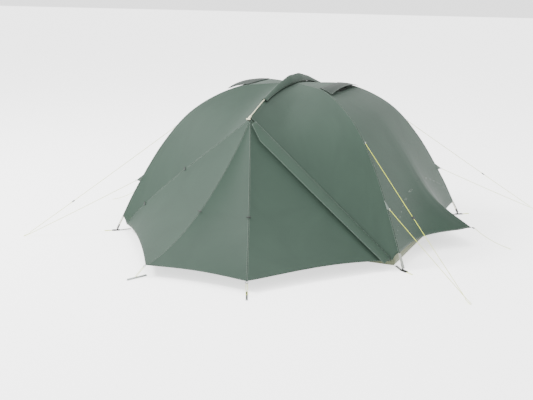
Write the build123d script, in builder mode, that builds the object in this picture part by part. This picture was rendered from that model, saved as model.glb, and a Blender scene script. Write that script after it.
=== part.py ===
"""Two-person dome tent, pitched: three shock-corded poles, a fly with two vestibules, and an inner tent.

Millimetres, +Z up. The origin lies on the ground under the pole crossing. X runs along the sleepers,
the front vestibule is at -Y, and the rear half is the front half turned half a turn about Z.
"""

from build123d import *
import os
from math import cos, pi, radians, sin, tan

os.makedirs("parts", exist_ok=True)

# --- overall sizes -------------------------------------------------------------------------------
FOOT_X = 1150.0  # half the distance between the pole feet along X
FOOT_Y = 789.0  # half the distance between the pole feet along Y
PEAK = 1106.0  # height of the main poles where they cross
RIDGE_PEAK = 1176.0  # height of the ridge pole over the crossing

# --- poles ---------------------------------------------------------------------------------------
POLE_OD = 8.5
POLE_WALL = 0.7
FERRULE_WALL = 0.8
FERRULE_LENGTH = 40.0
FIT = 0.05  # radial room of a pole in its ferrule or tip
POLE_GAP = 0.6  # free height between two crossing poles
POLE_BEND = 0.3  # share of a run that each of its bends takes
TUBE_START = 22.0  # height above the ground at which a pole tube begins in its tip
# bend points of one half of a main pole: shares of FOOT_X and of PEAK, from the foot to the crossing
POLE_SHAPE = [(1.0, 0.0), (0.878, 0.30), (0.728, 0.603), (0.557, 0.835), (0.330, 0.978), (0.113, 1.003)]
# bend points of one half of the ridge pole: shares of RIDGE_REACH and of its rise
RIDGE_REACH = 792.0  # half span of the ridge pole, to the tips of its end fittings
RIDGE_END_Z = 961.0
SLEEVE_REACH = 540.0  # half length of the sleeve round the ridge pole
RIDGE_SHAPE = [(1.0, 0.0), (0.70, 0.43), (0.36, 0.81), (0.12, 1.0)]

# --- fly -----------------------------------------------------------------------------------------
FLY_THICK = 1.5
LEAST_BULGE = 0.6  # every strip of a panel is crowned at least this much
FLY_STANDOFF = 9.0  # from a pole's axis to the inner face of the fly
SEAM_GAP = 0.3  # each panel stops this far from the line of its seam
POLE_HEM_Z = 112.0  # height of the fly's hem on the pole line
CORNER = Vector(1064.0, -778.0, 54.0)  # lower end of the zip line, mirrored for the plain seam
APEX = Vector(0.0, -769.0, 957.0)  # where the vestibule seams meet under the ridge pole's tip
HEM_POINT = Vector(373.0, -1604.0, 76.0)  # pegged points of the vestibule, at plus and minus X
SEAM_SAG = 155.0  # how far the two pegged seams hang below their straight line
PLAIN_SEAM_RISE = 66.0  # how far the plain side seam bows above its straight line
RIDGE_CREASE_RISE = 44.0
HEM_HOLLOW = 42.0  # depth of the hollow hems of the vestibule
END_TIE = Vector(1430.0, 0.0, 130.0)  # pulled-out middle of an end hem
END_BULGE = [None, 95.0, 34.0, 10.0, 4.0, 2.0, 1.0]  # outward pull of the end panel, hem first
STATIONS = len(POLE_SHAPE)  # strips along every seam

# --- zip, storm flap, vents ----------------------------------------------------------------------
ZIP_HALF = 3.2  # half the width left free for the zip chain
ZIP_THICK = 2.0
FLAP_OVER = 74.0  # how far the flap reaches over the door
FLAP_ROOT = 10.0  # how far the flap's sewn edge lies beyond the zip line
FLAP_SEAT = 0.8  # free height of the sewn edge over its panel
FLAP_CREASE_SEAT = 1.8  # the same, more at the top, where the panel is crowned
FLAP_STAND = 13.0  # height of the flap's free edge over the door
FLAP_CROWN = 8.0
HOOD_START = 292.0
HOOD_REACH = 425.0
HOOD_RISE = 56.0
VENT_WIDTH = 180.0
VENT_LENGTH = 74.0
VENT_START = 318.0

# --- inner tent ----------------------------------------------------------------------------------
INNER_X = 1072.0
INNER_SLOPE = 0.66
INNER_PEAK = 1040.0
TUB_HEIGHT = 120.0
INNER_THICK = 1.5
LANTERN_R = 11.0
LANTERN_WIRE = 1.6
LOOP_R = 4.6
LOOP_WIRE = 0.9
PATCH_X = 110.0
PATCH_Y = 76.0
PATCH_THICK = 1.6
DOOR_WIDTH = 760.0
DOOR_FOOT_Z = 165.0
DOOR_HEIGHT = 610.0
DOOR_GAP = 0.5
DOOR_SIDE = 0.42  # share of the door's height at which its arch begins

# --- lines and hardware --------------------------------------------------------------------------
CORD_OD = 2.6
TIE_HIGH = Vector(733.0, 494.0, 824.0)  # seam point of an upper guy tab
TIE_LOW = Vector(978.0, 676.0, 412.0)
GUY_GROUND = Vector(1692.0, 1213.0, 0.0)
END_PEG = Vector(1723.0, 0.0, 0.0)
TAB_REACH = 46.0
TAB_ROOT = 4.2  # how far behind the seam point a tab begins
PLATE_LENGTH = 62.0  # of a corner buckle plate, with its middle PLATE_SHIFT beyond the foot
PLATE_WIDTH = 30.0
PLATE_THICK = 4.5
PLATE_SHIFT = 6.0
WEB_WIDTH = 20.0
WEB_THICK = 1.4
TOGGLE_R = 3.4
TOGGLE_LENGTH = 32.0
RING_R = 6.0
RING_WIRE = 1.3
LOCK_START = 2.4  # from the tie point of an end hem to its line lock
LOCK_WIDTH = 14.0
LOCK_DEPTH = 8.0
LOCK_LENGTH = 22.0
LOOP_WIDTH = 11.0  # of a peg loop drawn long
PEG_LENGTH = 150.0
PEG_FIN = 7.0
PEG_SHEET = 1.8
PEG_TURNS = (30, 150, 270)  # a peg's fins round its length: one up or down, two on the ground
SLIDER_ROOM = 2.6  # room round the line, so that a lock clears its sag over its travel
SLIDER_SHARES = {"front_right": 0.51, "rear_right": 0.60, "front_left": 0.70, "rear_left": 0.60}

UP = Vector(0, 0, 1)
SLOPE = FOOT_Y / FOOT_X
CORNERS = {
    "front_left": (-1, -1),
    "front_right": (1, -1),
    "rear_left": (-1, 1),
    "rear_right": (1, 1),
}
HALVES = {"front": 0, "rear": 180}


def lerp(a, b, share):
    """The point at a share of the way from a to b."""
    return a + (b - a) * share


def unit(v):
    return v.normalized()


def keep(piece, name):
    """Label a finished piece and write it."""
    piece.part.label = name
    export_step(piece.part, f"parts/{name}.step")


def half_turn(piece, angle):
    """The piece itself, or a copy of it turned about Z for the rear half of the tent."""
    with BuildPart() as turned:
        add(piece.part.rotate(Axis.Z, angle) if angle else piece.part)
    return turned


def offset_outward(points, distance):
    """Move the bend points of a half arch (foot first, x and z) outwards by a distance."""
    moved = []
    for i, (x, z) in enumerate(points):
        before = points[i - 1] if i else points[0]
        after = points[i + 1] if i + 1 < len(points) else (-x, z)
        if i == 0:
            before = (2 * x - after[0], 2 * z - after[1])
        one = unit(Vector(x - before[0], z - before[1]))
        two = unit(Vector(after[0] - x, after[1] - z))
        turn = one.get_angle(two)
        normal = unit(Vector(one.Y + two.Y, -(one.X + two.X)))
        reach = distance / cos(radians(turn / 2))
        moved.append((x + normal.X * reach, z + normal.Y * reach))
    return moved


DIAGONAL = (1 + SLOPE**2) ** 0.5
POLE_POINTS = [(FOOT_X * DIAGONAL * a, PEAK * b) for a, b in POLE_SHAPE]
SEAM_POINTS = offset_outward(POLE_POINTS, FLY_STANDOFF)


def at_height(points, z):
    """The point of a half arch's first run at a height."""
    (x0, z0), (x1, z1) = points[0], points[1]
    return (x0 + (x1 - x0) * (z - z0) / (z1 - z0), z)


def diagonal_point(point, side_x, side_y):
    """A point of the vertical plane over one foot, from its reach along the diagonal and its height."""
    reach, z = point
    return Vector(side_x * reach / DIAGONAL, side_y * SLOPE * reach / DIAGONAL, z)


def pole_seam(side_x, side_y):
    """The fly's seam over one leg, from the hem to the crossing."""
    profile = [at_height(SEAM_POINTS, POLE_HEM_Z)] + SEAM_POINTS[1:]
    profile.append((0.0, SEAM_POINTS[-1][1]))
    return [diagonal_point(p, side_x, side_y) for p in profile]


def shares(first):
    """Shares of the way down a vestibule seam, from near the apex to the hem."""
    return [first] + [(i + 1) / STATIONS for i in range(STATIONS)]


def vestibule_seam(foot, sag):
    """A seam from the apex to the hem that hangs below (or bows above) its straight line."""
    points = []
    for s in shares(0.035):
        bow = sin(pi * s) ** 0.8 if sag > 0 else 2.6 * s**1.5 * (1 - s) ** 0.75
        points.append(lerp(APEX, foot, s) - UP * (sag * bow))
    return points


SEAMS = {
    "plain": vestibule_seam(Vector(-CORNER.X, CORNER.Y, CORNER.Z), -PLAIN_SEAM_RISE),
    "left": vestibule_seam(Vector(-HEM_POINT.X, HEM_POINT.Y, HEM_POINT.Z), SEAM_SAG),
    "right": vestibule_seam(HEM_POINT, SEAM_SAG),
    "zip": vestibule_seam(CORNER, 0.0001),
}


SEAM_ORDER = ["plain", "left", "right", "zip"]


def seam_rows():
    """The front-left leg, the four vestibule seams and the front-right leg, each from the top down."""
    legs = [list(reversed(pole_seam(side, -1))) for side in (-1, 1)]
    return [legs[0]] + [SEAMS[name] for name in SEAM_ORDER] + [legs[1]]


def seam_frame(name, index):
    """At a point of a vestibule seam: down it, square to it in the panels before and after, and out."""
    rows, place = seam_rows(), SEAM_ORDER.index(name) + 1
    here = rows[place]
    down = unit(here[min(index + 1, STATIONS)] - here[max(index - 1, 0)])
    before = here[index] - rows[place - 1][index]
    after = rows[place + 1][index] - here[index]
    before, after = (unit(v - down * v.dot(down)) for v in (before, after))
    out = unit(down.cross(before) + down.cross(after))
    return down, before, after, out if out.Y < 0 else out * -1


def square_trim(name, index, other, half):
    """How much shorter a strip is made so that its edge stands a distance square off its seam."""
    down = seam_frame(name, index)[0]
    along = unit(other - SEAMS[name][index])
    return half / sin(radians(max(25.0, min(along.get_angle(down), 180 - along.get_angle(down)))))


def strip_plane(start, end, outward):
    """A cross plane of a panel: x from its start to its end, y out of the cloth."""
    along = unit(end - start)
    across = unit(outward - along * outward.dot(along))
    return Plane(origin=start, x_dir=along, z_dir=along.cross(across))


def cloth(stations, thick, outline=((0.25, 0.75), (0.5, 1.0), (0.75, 0.75))):
    """A cloth panel lofted through thin cross strips.

    Each station is (start, end, outward, bulge, trim at start, trim at end). The outline gives the
    inner points of a strip as shares of its width and of its bulge.
    """
    with BuildPart() as panel:
        for start, end, outward, bulge, trim_start, trim_end in stations:
            width = (end - start).length
            first, last = trim_start, width - trim_end
            rise = max(bulge, LEAST_BULGE)
            inside = [(first, 0.0)]
            inside += [(first + (last - first) * a, rise * b) for a, b in outline]
            inside += [(last, 0.0)]
            outside = [(x, y + thick) for x, y in reversed(inside)]
            with BuildSketch(strip_plane(start, end, outward)):
                with BuildLine():
                    Polyline(*inside, *outside, close=True)
                make_face()
        loft(ruled=True)
    return panel


def hollow_hem(a, b, outward, depth):
    """The sliver cut from a straight hem to leave it hollow between its two ends."""
    plane = strip_plane(a, b, outward)
    width = (b - a).length
    flat = Plane(origin=plane.origin, x_dir=plane.x_dir, z_dir=plane.y_dir)
    up = 1 if flat.y_dir.Z > 0 else -1
    with BuildPart() as sliver:
        with BuildSketch(flat):
            with BuildLine():
                ThreePointArc((0, 0), (width / 2, up * depth), (width, 0))
                Polyline((0, 0), (0, -up * 60), (width, -up * 60), (width, 0))
            make_face()
        extrude(amount=80, both=True)
    return sliver


def side_panel(side, seam, trim_seam):
    """Front face between a leg and a vestibule seam; its top edge is the crease under the ridge."""
    leg = pole_seam(side, -1)
    low = list(reversed(SEAMS[seam]))
    crease = Vector(side * SEAM_GAP, 0, 0)
    top = (leg[-1] + crease, APEX + crease)
    rows = []
    for i, (a, b) in enumerate(zip(leg, low)):
        last = i == STATIONS
        start, end = top if last else (a, b)
        outward = UP if last else unit(Vector(side * 0.25, -1.0, 0.75))
        bulge = RIDGE_CREASE_RISE * (i / STATIONS) ** 3
        trim_low = square_trim(seam, STATIONS - i, a, trim_seam)
        rows.append((start, end, outward, bulge, 12.0 if last else 2 * SEAM_GAP, trim_low))
    return cloth(rows, FLY_THICK)


def vestibule_panel(left, right, trim_left, trim_right):
    """Vestibule panel between two seams, with a hollow hem."""
    a, b = SEAMS[left], SEAMS[right]
    facing = (b[-1] - a[-1]).cross(APEX - a[-1])
    outward = unit(facing if facing.Y < 0 else facing * -1)
    rows = []
    for i, (p, q) in enumerate(zip(a, b)):
        trims = square_trim(left, i, q, trim_left), square_trim(right, i, p, trim_right)
        rows.append((p, q, outward, 0.0, *trims))
    raw = cloth(rows, FLY_THICK)
    foot_out = unit((b[-1] - a[-1]).cross(a[-2] - a[-1]))
    foot_out = foot_out if foot_out.Z > 0 else foot_out * -1
    with BuildPart() as panel:
        add(raw.part)
        add(hollow_hem(a[-1], b[-1], foot_out, HEM_HOLLOW).part, mode=Mode.SUBTRACT)
    return panel


def end_outline(power):
    """Strip points of an end panel, pulled to its middle."""
    points = [0.14, 0.28, 0.40, 0.5, 0.60, 0.72, 0.86]
    return [(p, (1 - abs(2 * p - 1)) ** power) for p in points]


def end_panel(side):
    """End face between the front and the rear leg, pulled out at the middle of its hem."""
    front, rear = pole_seam(side, -1), pole_seam(side, 1)
    with BuildPart() as panel:
        for i in range(STATIONS + 1):
            a, b = (front[i], rear[i]) if i < STATIONS else (front[i - 1] * 0.25, rear[i - 1] * 0.25)
            if i == STATIONS:
                z = lerp(front[-1], front[-2], 0.25).Z
                a, b = Vector(a.X, a.Y, z), Vector(b.X, b.Y, z)
            middle = lerp(a, b, 0.5)
            outward = unit(END_TIE_AT[side] - middle) if i == 0 else unit(Vector(side * 1.0, 0, 0.5))
            if i > 2:
                outward = unit(Vector(side * 0.6, 0, 1.0))
            bulge = (END_TIE_AT[side] - middle).length if i == 0 else END_BULGE[i]
            power = 3.2 - 0.5 * min(i, 4)
            plane = strip_plane(a, b, outward)
            width = (b - a).length
            inside = [(SEAM_GAP, 0.0)]
            inside += [(width * s, bulge * t) for s, t in end_outline(power)]
            inside += [(width - SEAM_GAP, 0.0)]
            outside = [(x, y + FLY_THICK) for x, y in reversed(inside)]
            with BuildSketch(plane):
                with BuildLine():
                    Polyline(*inside, *outside, close=True)
                make_face()
        loft(ruled=True)
        with BuildSketch(Plane.XY.offset(PEAK - 200)):
            with Locations((side * (VENT_START + VENT_LENGTH / 2), 0)):
                RectangleRounded(VENT_LENGTH, VENT_WIDTH, 20)
        extrude(amount=400, mode=Mode.SUBTRACT)
    return panel


END_TIE_AT = {1: END_TIE, -1: Vector(-END_TIE.X, END_TIE.Y, END_TIE.Z)}


def roof_height(x):
    """Height of the pole seams at a distance along X from the crossing."""
    reach = x * DIAGONAL
    points = SEAM_POINTS + [(0.0, SEAM_POINTS[-1][1])]
    for (d0, z0), (d1, z1) in zip(points, points[1:]):
        if d1 <= reach <= d0:
            return z0 + (z1 - z0) * (reach - d0) / (d1 - d0)
    return points[-1][1]


def vent_hood(side):
    """Arched hood over the vent, open towards the end of the tent."""
    rows = []
    lift = FLY_THICK + END_BULGE[4] - 1.1
    for share in (0.0, 0.5, 1.0):
        x = HOOD_START + (HOOD_REACH - HOOD_START) * share
        y = x * SLOPE - 8
        z = roof_height(x) + lift + 9 * share
        rows.append((Vector(side * x, -y, z), Vector(side * x, y, z), UP, HOOD_RISE * share, 0.0, 0.0))
    outline = ((0.12, 0.42), (0.3, 0.86), (0.5, 1.0), (0.7, 0.86), (0.88, 0.42))
    return cloth(rows, 2.2, outline)


def storm_flap():
    """Flap sewn beside the zip line; its free edge stands proud over the door."""
    rows = []
    for i, point in enumerate(SEAMS["zip"]):
        down, door, panel, out = seam_frame("zip", i)
        door = door * -1
        door_out, panel_out = (v if v.Y < 0 else v * -1 for v in (down.cross(door), down.cross(panel)))
        point = point + down * (20.0 if i == 0 else -8.0 if i == STATIONS else 0.0)
        over = FLAP_OVER * (0.4 if i == 0 else 1.0)
        seat = FLAP_SEAT + FLAP_CREASE_SEAT * (1 - i / STATIONS) ** 2
        root = point + panel * FLAP_ROOT + panel_out * (FLY_THICK + seat)
        edge = point + door * over + door_out * (FLY_THICK + FLAP_STAND)
        rows.append((root, edge, out, FLAP_CROWN, 0.0, 0.0))
    return cloth(rows, FLY_THICK, ((0.12, 0.7), (0.4, 1.0), (0.75, 0.6)))


def zip_plane(share):
    """A plane across the zip chain at a share of its length from the top: x across, y out."""
    line = SEAMS["zip"]
    along = unit(line[-1] - line[0])
    out = seam_frame("zip", STATIONS // 2)[3]
    across = unit(out.cross(along))
    return Plane(origin=lerp(line[0], line[-1], share), x_dir=across, z_dir=along)


def zip_chain():
    """Straight zip chain along the zip line, as thick as the cloth beside it."""
    line = SEAMS["zip"]
    with BuildPart() as chain:
        with BuildSketch(zip_plane(0.012)):
            with Locations((0, FLY_THICK / 2)):
                RectangleRounded(2 * ZIP_HALF - 1.2, ZIP_THICK, 0.6)
        extrude(amount=(line[-1] - line[0]).length * 0.98)
    return chain


def zip_slider():
    """Zip slider with its pull, on the lower end of the chain."""
    across = zip_plane(0.955)
    out = across.y_dir if across.y_dir.Y < 0 else across.y_dir * -1
    seat = FLY_THICK / 2 + ZIP_THICK / 2 + 0.3
    plane = Plane(origin=across.origin + out * seat, x_dir=across.x_dir, z_dir=out)
    neck = 2.4
    with BuildPart() as slider:
        with BuildSketch(plane):
            RectangleRounded(3.6, 12, 1.4)
        extrude(amount=neck)
        with BuildSketch(plane.offset(neck)):
            RectangleRounded(5.4, 12, 1.4)
            with Locations((0, -9)):
                RectangleRounded(4.4, 24, 1.8)
            with Locations((0, -17)):
                Circle(1.1, mode=Mode.SUBTRACT)
        extrude(amount=1.2)
    return slider


def ridge_profile(drop=0.0):
    """Bend points of the ridge pole's axis from tip to tip, lowered by a drop."""
    rise = RIDGE_PEAK - RIDGE_END_Z
    half = [(-RIDGE_REACH * a, RIDGE_END_Z + rise * b - drop) for a, b in RIDGE_SHAPE]
    return half + [(-y, z) for y, z in reversed(half)]


def bend_radii(points):
    """The arc at each bend of a pole, from the shorter of its two runs."""
    radii = []
    for a, b, c in zip(points, points[1:], points[2:]):
        one, two = Vector(*b) - Vector(*a), Vector(*c) - Vector(*b)
        turn = radians(one.get_angle(two))
        radii.append(POLE_BEND * min(one.length, two.length) / tan(turn / 2))
    return radii


def bent_tube(plane, points, radius, wall=0.0):
    """A rod or a tube of bent runs in a plane."""
    start, after = Vector(*points[0]), Vector(*points[1])
    first = plane.from_local_coords(start)
    direction = unit(plane.from_local_coords(after) - first)
    with BuildPart() as tube:
        with BuildLine(plane) as path:
            FilletPolyline(*points, radius=bend_radii(points))
        with BuildSketch(Plane(origin=first, z_dir=direction)):
            Circle(radius)
            if wall:
                Circle(radius - wall, mode=Mode.SUBTRACT)
        sweep(path=path.line)
    return tube


def diagonal_plane(side):
    """Vertical plane through the left front and right rear feet (side 1) or the other two."""
    along = unit(Vector(1, side * SLOPE, 0))
    return Plane(origin=(0, 0, 0), x_dir=along, z_dir=unit(Vector(side * SLOPE, -1, 0)))


def leg_start():
    """The axis point where a pole tube begins, above its tip's shoulder."""
    return at_height(POLE_POINTS, TUBE_START)


def main_pole(side, drop):
    """A main pole from tip to tip. The lower of the two dips by a drop under the crossing."""
    half = [leg_start()] + POLE_POINTS[1:-1]
    half.append((POLE_POINTS[-1][0], POLE_POINTS[-1][1] - drop))
    points = [(-x, z) for x, z in half] + [(x, z) for x, z in reversed(half)]
    return bent_tube(diagonal_plane(side), points, POLE_OD / 2, POLE_WALL)


def ring_on_run(a, b, share, length, inner, outer):
    """A short tube round the straight middle of a run."""
    middle, along = lerp(a, b, share), unit(b - a)
    with BuildPart() as ring:
        with BuildSketch(Plane(origin=middle - along * (length / 2), z_dir=along)):
            Circle(outer)
            Circle(inner, mode=Mode.SUBTRACT)
        extrude(amount=length)
    return ring


def run_points(index, side_x, side_y):
    """The two ends of a run of a main pole's leg."""
    a, b = POLE_POINTS[index], POLE_POINTS[index + 1]
    return diagonal_point(a, side_x, side_y), diagonal_point(b, side_x, side_y)


def pole_ferrules():
    """Sleeves over the joints of the two main poles, one on each leg."""
    with BuildPart() as ferrules:
        for side_x, side_y in CORNERS.values():
            a, b = run_points(1, side_x, side_y)
            inner = POLE_OD / 2 + FIT
            add(ring_on_run(a, b, 0.42, FERRULE_LENGTH, inner, inner + FERRULE_WALL).part)
    return ferrules


def pole_foot_tips():
    """Plastic tips on the four pole feet, each with a pin that stands in its corner plate."""
    with BuildPart() as tips:
        for side_x, side_y in CORNERS.values():
            foot, upper = run_points(0, side_x, side_y)
            along = unit(upper - foot)
            pin = foot + along * (1.8 / along.Z)
            shoulder = foot + along * (9.0 / along.Z)
            tube_end = foot + along * (TUBE_START / along.Z)
            rim = foot + along * (44.0 / along.Z)
            bore = POLE_OD / 2 + FIT
            with BuildSketch(Plane(origin=pin, z_dir=along)):
                Circle(3.0)
            extrude(amount=(shoulder - pin).length)
            with BuildSketch(Plane(origin=shoulder, z_dir=along)):
                Circle(bore + 1.6)
            extrude(amount=(rim - shoulder).length)
            with BuildSketch(Plane(origin=tube_end - along * 0.1, z_dir=along)):
                Circle(bore)
            extrude(amount=(rim - tube_end).length + 1, mode=Mode.SUBTRACT)
    return tips


def ridge_pole():
    points = ridge_profile()
    return bent_tube(Plane.YZ, points, POLE_OD / 2, POLE_WALL)


def ridge_end_fittings():
    """Caps on the ridge pole's ends, each with a forked ear that holds the apex strap."""
    with BuildPart() as fittings:
        for turn in (0, 180):
            tip = Vector(0, -RIDGE_REACH, RIDGE_END_Z)
            inner = Vector(0, ridge_profile()[1][0], ridge_profile()[1][1])
            along = unit(inner - tip)
            with BuildPart(mode=Mode.PRIVATE) as fitting:
                with BuildSketch(Plane(origin=tip - along * 9, z_dir=along)):
                    Circle(POLE_OD / 2 + 2.4)
                extrude(amount=37)
                with BuildSketch(Plane(origin=tip - along * 0.1, z_dir=along)):
                    Circle(POLE_OD / 2 + FIT)
                extrude(amount=40, mode=Mode.SUBTRACT)
                with BuildSketch(Plane(origin=tip - along * 17, x_dir=(1, 0, 0), z_dir=along)):
                    RectangleRounded(30, 7, 2)
                extrude(amount=8)
            add(fitting.part.rotate(Axis.Z, turn))
    return fittings


def sleeve_section(y):
    """Height of the ridge pole and of the fly's crease at a place along Y."""
    pole = ridge_profile()
    for (y0, z0), (y1, z1) in zip(pole, pole[1:]):
        if y0 <= y <= y1:
            pole_z = z0 + (z1 - z0) * (y - y0) / (y1 - y0)
    share = abs(y) / -APEX.Y
    top = SEAM_POINTS[-1][1]
    crease = top + (APEX.Z - top) * share + RIDGE_CREASE_RISE * 4 * share * (1 - share)
    return pole_z, crease


def ridge_sleeve():
    """Raised sleeve round the ridge pole, standing on the fly like a narrow tent."""
    with BuildPart() as sleeve:
        bends = [RIDGE_REACH * a for a, b in RIDGE_SHAPE[2:]]
        for y in [-SLEEVE_REACH] + [-b for b in bends] + [0.0] + bends[::-1] + [SLEEVE_REACH]:
            pole_z, crease = sleeve_section(y)
            top = pole_z + POLE_OD / 2 + 0.6
            foot = min(crease + FLY_THICK + 2.1, pole_z - POLE_OD / 2 - 1.5)
            wide = 12 + 0.35 * max(0.0, pole_z - crease)
            skin = 1.2
            outer = [(-wide - skin, foot), (-6.8, top - 3.2), (-3.2, top + skin), (3.2, top + skin)]
            outer += [(6.8, top - 3.2), (wide + skin, foot)]
            inner = [(wide - 0.2, foot), (5.3, top - 3.6), (2.6, top)]
            inner += [(-x, z) for x, z in reversed(inner)]
            with BuildSketch(Plane(origin=(0, y, 0), x_dir=(1, 0, 0), z_dir=(0, -1, 0))):
                with BuildLine():
                    Polyline(*outer, *inner, close=True)
                make_face()
        loft(ruled=True)
    return sleeve


def flat_strap(start, end, face, width, thick):
    """A flat strap between two points, with its broad side turned to face."""
    along = unit(end - start)
    out = unit(face - along * face.dot(along))
    with BuildPart() as strap:
        with BuildSketch(Plane(origin=start, x_dir=unit(out.cross(along)), z_dir=along)):
            Rectangle(width, thick)
        extrude(amount=(end - start).length)
    return strap


def corner_plates():
    """Buckle plates on the ground under the four pole feet, with a hole for the tip's pin."""
    with BuildPart() as plates:
        for side_x, side_y in CORNERS.values():
            along = unit(Vector(side_x, side_y * SLOPE, 0))
            foot = diagonal_point(POLE_POINTS[0], side_x, side_y)
            base = Plane(origin=foot, x_dir=along, z_dir=(0, 0, 1))
            with BuildSketch(base):
                with Locations((PLATE_SHIFT, 0)):
                    RectangleRounded(PLATE_LENGTH, PLATE_WIDTH, 6)
                with Locations((-3, 0)):
                    SlotOverall(16, 11, mode=Mode.SUBTRACT)
                with Locations((24, 0)):
                    SlotOverall(20, 5, rotation=90, mode=Mode.SUBTRACT)
                with Locations((-19, 0)):
                    SlotOverall(23, 4, rotation=90, mode=Mode.SUBTRACT)
            extrude(amount=PLATE_THICK)
    return plates


def corner_webbing():
    """At each foot, a strap up the pole to the fly's hem and one along the ground to the tub."""
    with BuildPart() as straps:
        for side_x, side_y in CORNERS.values():
            foot, upper = run_points(0, side_x, side_y)
            along = unit(upper - foot)
            radial = unit(Vector(side_x, side_y * SLOPE, 0))
            out = unit(radial - along * radial.dot(along))
            stand = out * (POLE_OD / 2 + 4.6)
            low = foot + along * (14.0 / along.Z) + stand
            rise = POLE_HEM_Z - 5.5
            add(flat_strap(low, foot + along * (rise / along.Z) + stand, out, WEB_WIDTH, WEB_THICK).part)
            tub = Vector(side_x * INNER_X, side_y * INNER_X * INNER_SLOPE, 0)
            plate = foot - radial * (PLATE_LENGTH / 2 - PLATE_SHIFT + 3.0)
            start = Vector(plate.X, plate.Y, WEB_THICK)
            stop = tub + radial * 0.7
            add(flat_strap(start, Vector(stop.X, stop.Y, WEB_THICK), UP, WEB_WIDTH, WEB_THICK).part)
    return straps


def inner_leg(side_x, side_y):
    """Seam of the inner tent below one leg, from the tub's rim to the crossing."""
    points = [(a * INNER_X, b * INNER_PEAK) for a, b in POLE_SHAPE]
    rim = at_height(points, TUB_HEIGHT + 0.6)
    top = (0.0, points[-1][1])
    return [Vector(side_x * x, side_y * INNER_SLOPE * x, z) for x, z in [rim] + points[1:] + [top]]


def inner_wall(front, side):
    """One wall of the inner tent, between two of its legs."""
    if front:
        a, b = inner_leg(-1, side), inner_leg(1, side)
        outward = unit(Vector(0, side, 0.4))
    else:
        a, b = inner_leg(side, -1), inner_leg(side, 1)
        outward = unit(Vector(side, 0, 0.4))
    tip = [(lerp(a[-1], a[-2], 0.3), lerp(b[-1], b[-2], 0.3))]
    rows = []
    for i, (p, q) in enumerate(list(zip(a[:-1], b[:-1])) + tip):
        out = outward if i < 4 else unit(Vector(outward.X * 0.5, outward.Y * 0.5, 1.0))
        rows.append((p, q, out, 0.0, SEAM_GAP, SEAM_GAP))
    return cloth(rows, INNER_THICK, ((0.5, 1.0),))


def door_shape(side, grow):
    """A prism through the inner door's outline, an arch on a straight foot."""
    width, height = DOOR_WIDTH + 2 * grow, DOOR_HEIGHT + 2 * grow
    plane = Plane(origin=(0, side * 350, DOOR_FOOT_Z - grow), x_dir=(1, 0, 0), z_dir=(0, -1, 0))
    with BuildPart() as prism:
        with BuildSketch(plane):
            with BuildLine():
                left, right, arch = -width / 2, width / 2, height * DOOR_SIDE
                Polyline((left, arch), (left, 0), (right, 0), (right, arch))
                ThreePointArc((right, arch), (0, height), (left, arch))
            make_face()
        extrude(amount=330, both=True)
    return prism


def groundsheet():
    """Tub floor with upright sides that lean in under the inner walls."""
    points = [(a * INNER_X, b * INNER_PEAK) for a, b in POLE_SHAPE]
    rim = at_height(points, TUB_HEIGHT)[0]
    wall = 2.0
    with BuildPart() as tub:
        for inset, mode, low in ((0.0, Mode.ADD, 0.0), (wall, Mode.SUBTRACT, wall)):
            high = TUB_HEIGHT if not inset else TUB_HEIGHT + 1
            with BuildSketch(Plane.XY.offset(low)):
                Rectangle(2 * (INNER_X - inset), 2 * (INNER_X * INNER_SLOPE - inset))
            with BuildSketch(Plane.XY.offset(high)):
                Rectangle(2 * (rim - inset), 2 * (rim * INNER_SLOPE - inset))
            loft(ruled=True, mode=mode)
    return tub


def inner_hangers():
    """Clips round the poles, each with a strap down to the inner tent's seam."""
    with BuildPart() as hangers:
        for side_x, side_y in CORNERS.values():
            inner = inner_leg(side_x, side_y)
            for index in (1, 2, 3):
                a, b = run_points(index, side_x, side_y)
                share = 0.62 if index == 1 else 0.5
                ring = ring_on_run(a, b, share, 12.0, POLE_OD / 2 + 0.2, POLE_OD / 2 + 1.4)
                add(ring.part)
                eye = lerp(a, b, share)
                seat = lerp(inner[index], inner[index + 1], share)
                line = unit(seat - eye)
                start = eye + line * (POLE_OD / 2 + 0.9)
                stop = seat - line * 2.2
                add(flat_strap(start, stop, unit(b - a), 10, 1.6).part)
    return hangers


def roof_centre():
    """Height of the inner roof at the crossing."""
    return INNER_PEAK * POLE_SHAPE[-1][1]


def lantern_patch():
    """Patch under the middle of the inner roof, with the loop that holds the lantern ring."""
    top = roof_centre() - 0.3
    with BuildPart() as patch:
        with BuildSketch(Plane.XY.offset(top - PATCH_THICK)):
            RectangleRounded(PATCH_X, PATCH_Y, 8)
        extrude(amount=PATCH_THICK)
        add(closed_ring(Vector(0, 0, top - 0.3 - LOOP_R), Vector(1, 0, 0), LOOP_R, LOOP_WIRE).part)
    return patch


def lantern_ring():
    """Small ring that hangs in the loop of the roof patch."""
    loop_centre = roof_centre() - 0.6 - LOOP_R
    wire_top = loop_centre - (LOOP_R - LOOP_WIRE) + LANTERN_WIRE + 0.3
    return closed_ring(Vector(0, 0, wire_top - LANTERN_R), Vector(0, 1, 0), LANTERN_R, LANTERN_WIRE)


def closed_ring(centre, axis, radius, wire):
    """A round ring of wire."""
    x_dir = unit(axis.cross(Vector(0.3, 0.2, 1.0)))
    plane = Plane(origin=centre, x_dir=x_dir, z_dir=axis)
    with BuildPart() as ring:
        start = plane.from_local_coords(Vector(radius, 0, 0))
        with BuildSketch(Plane(origin=start, x_dir=x_dir, z_dir=unit(axis.cross(x_dir)))):
            Circle(wire)
        revolve(axis=Axis(centre, axis))
    return ring


def seam_out(side_x, side_y):
    """Horizontal direction away from the crossing over one leg."""
    return unit(Vector(side_x, side_y * SLOPE, 0))


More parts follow.
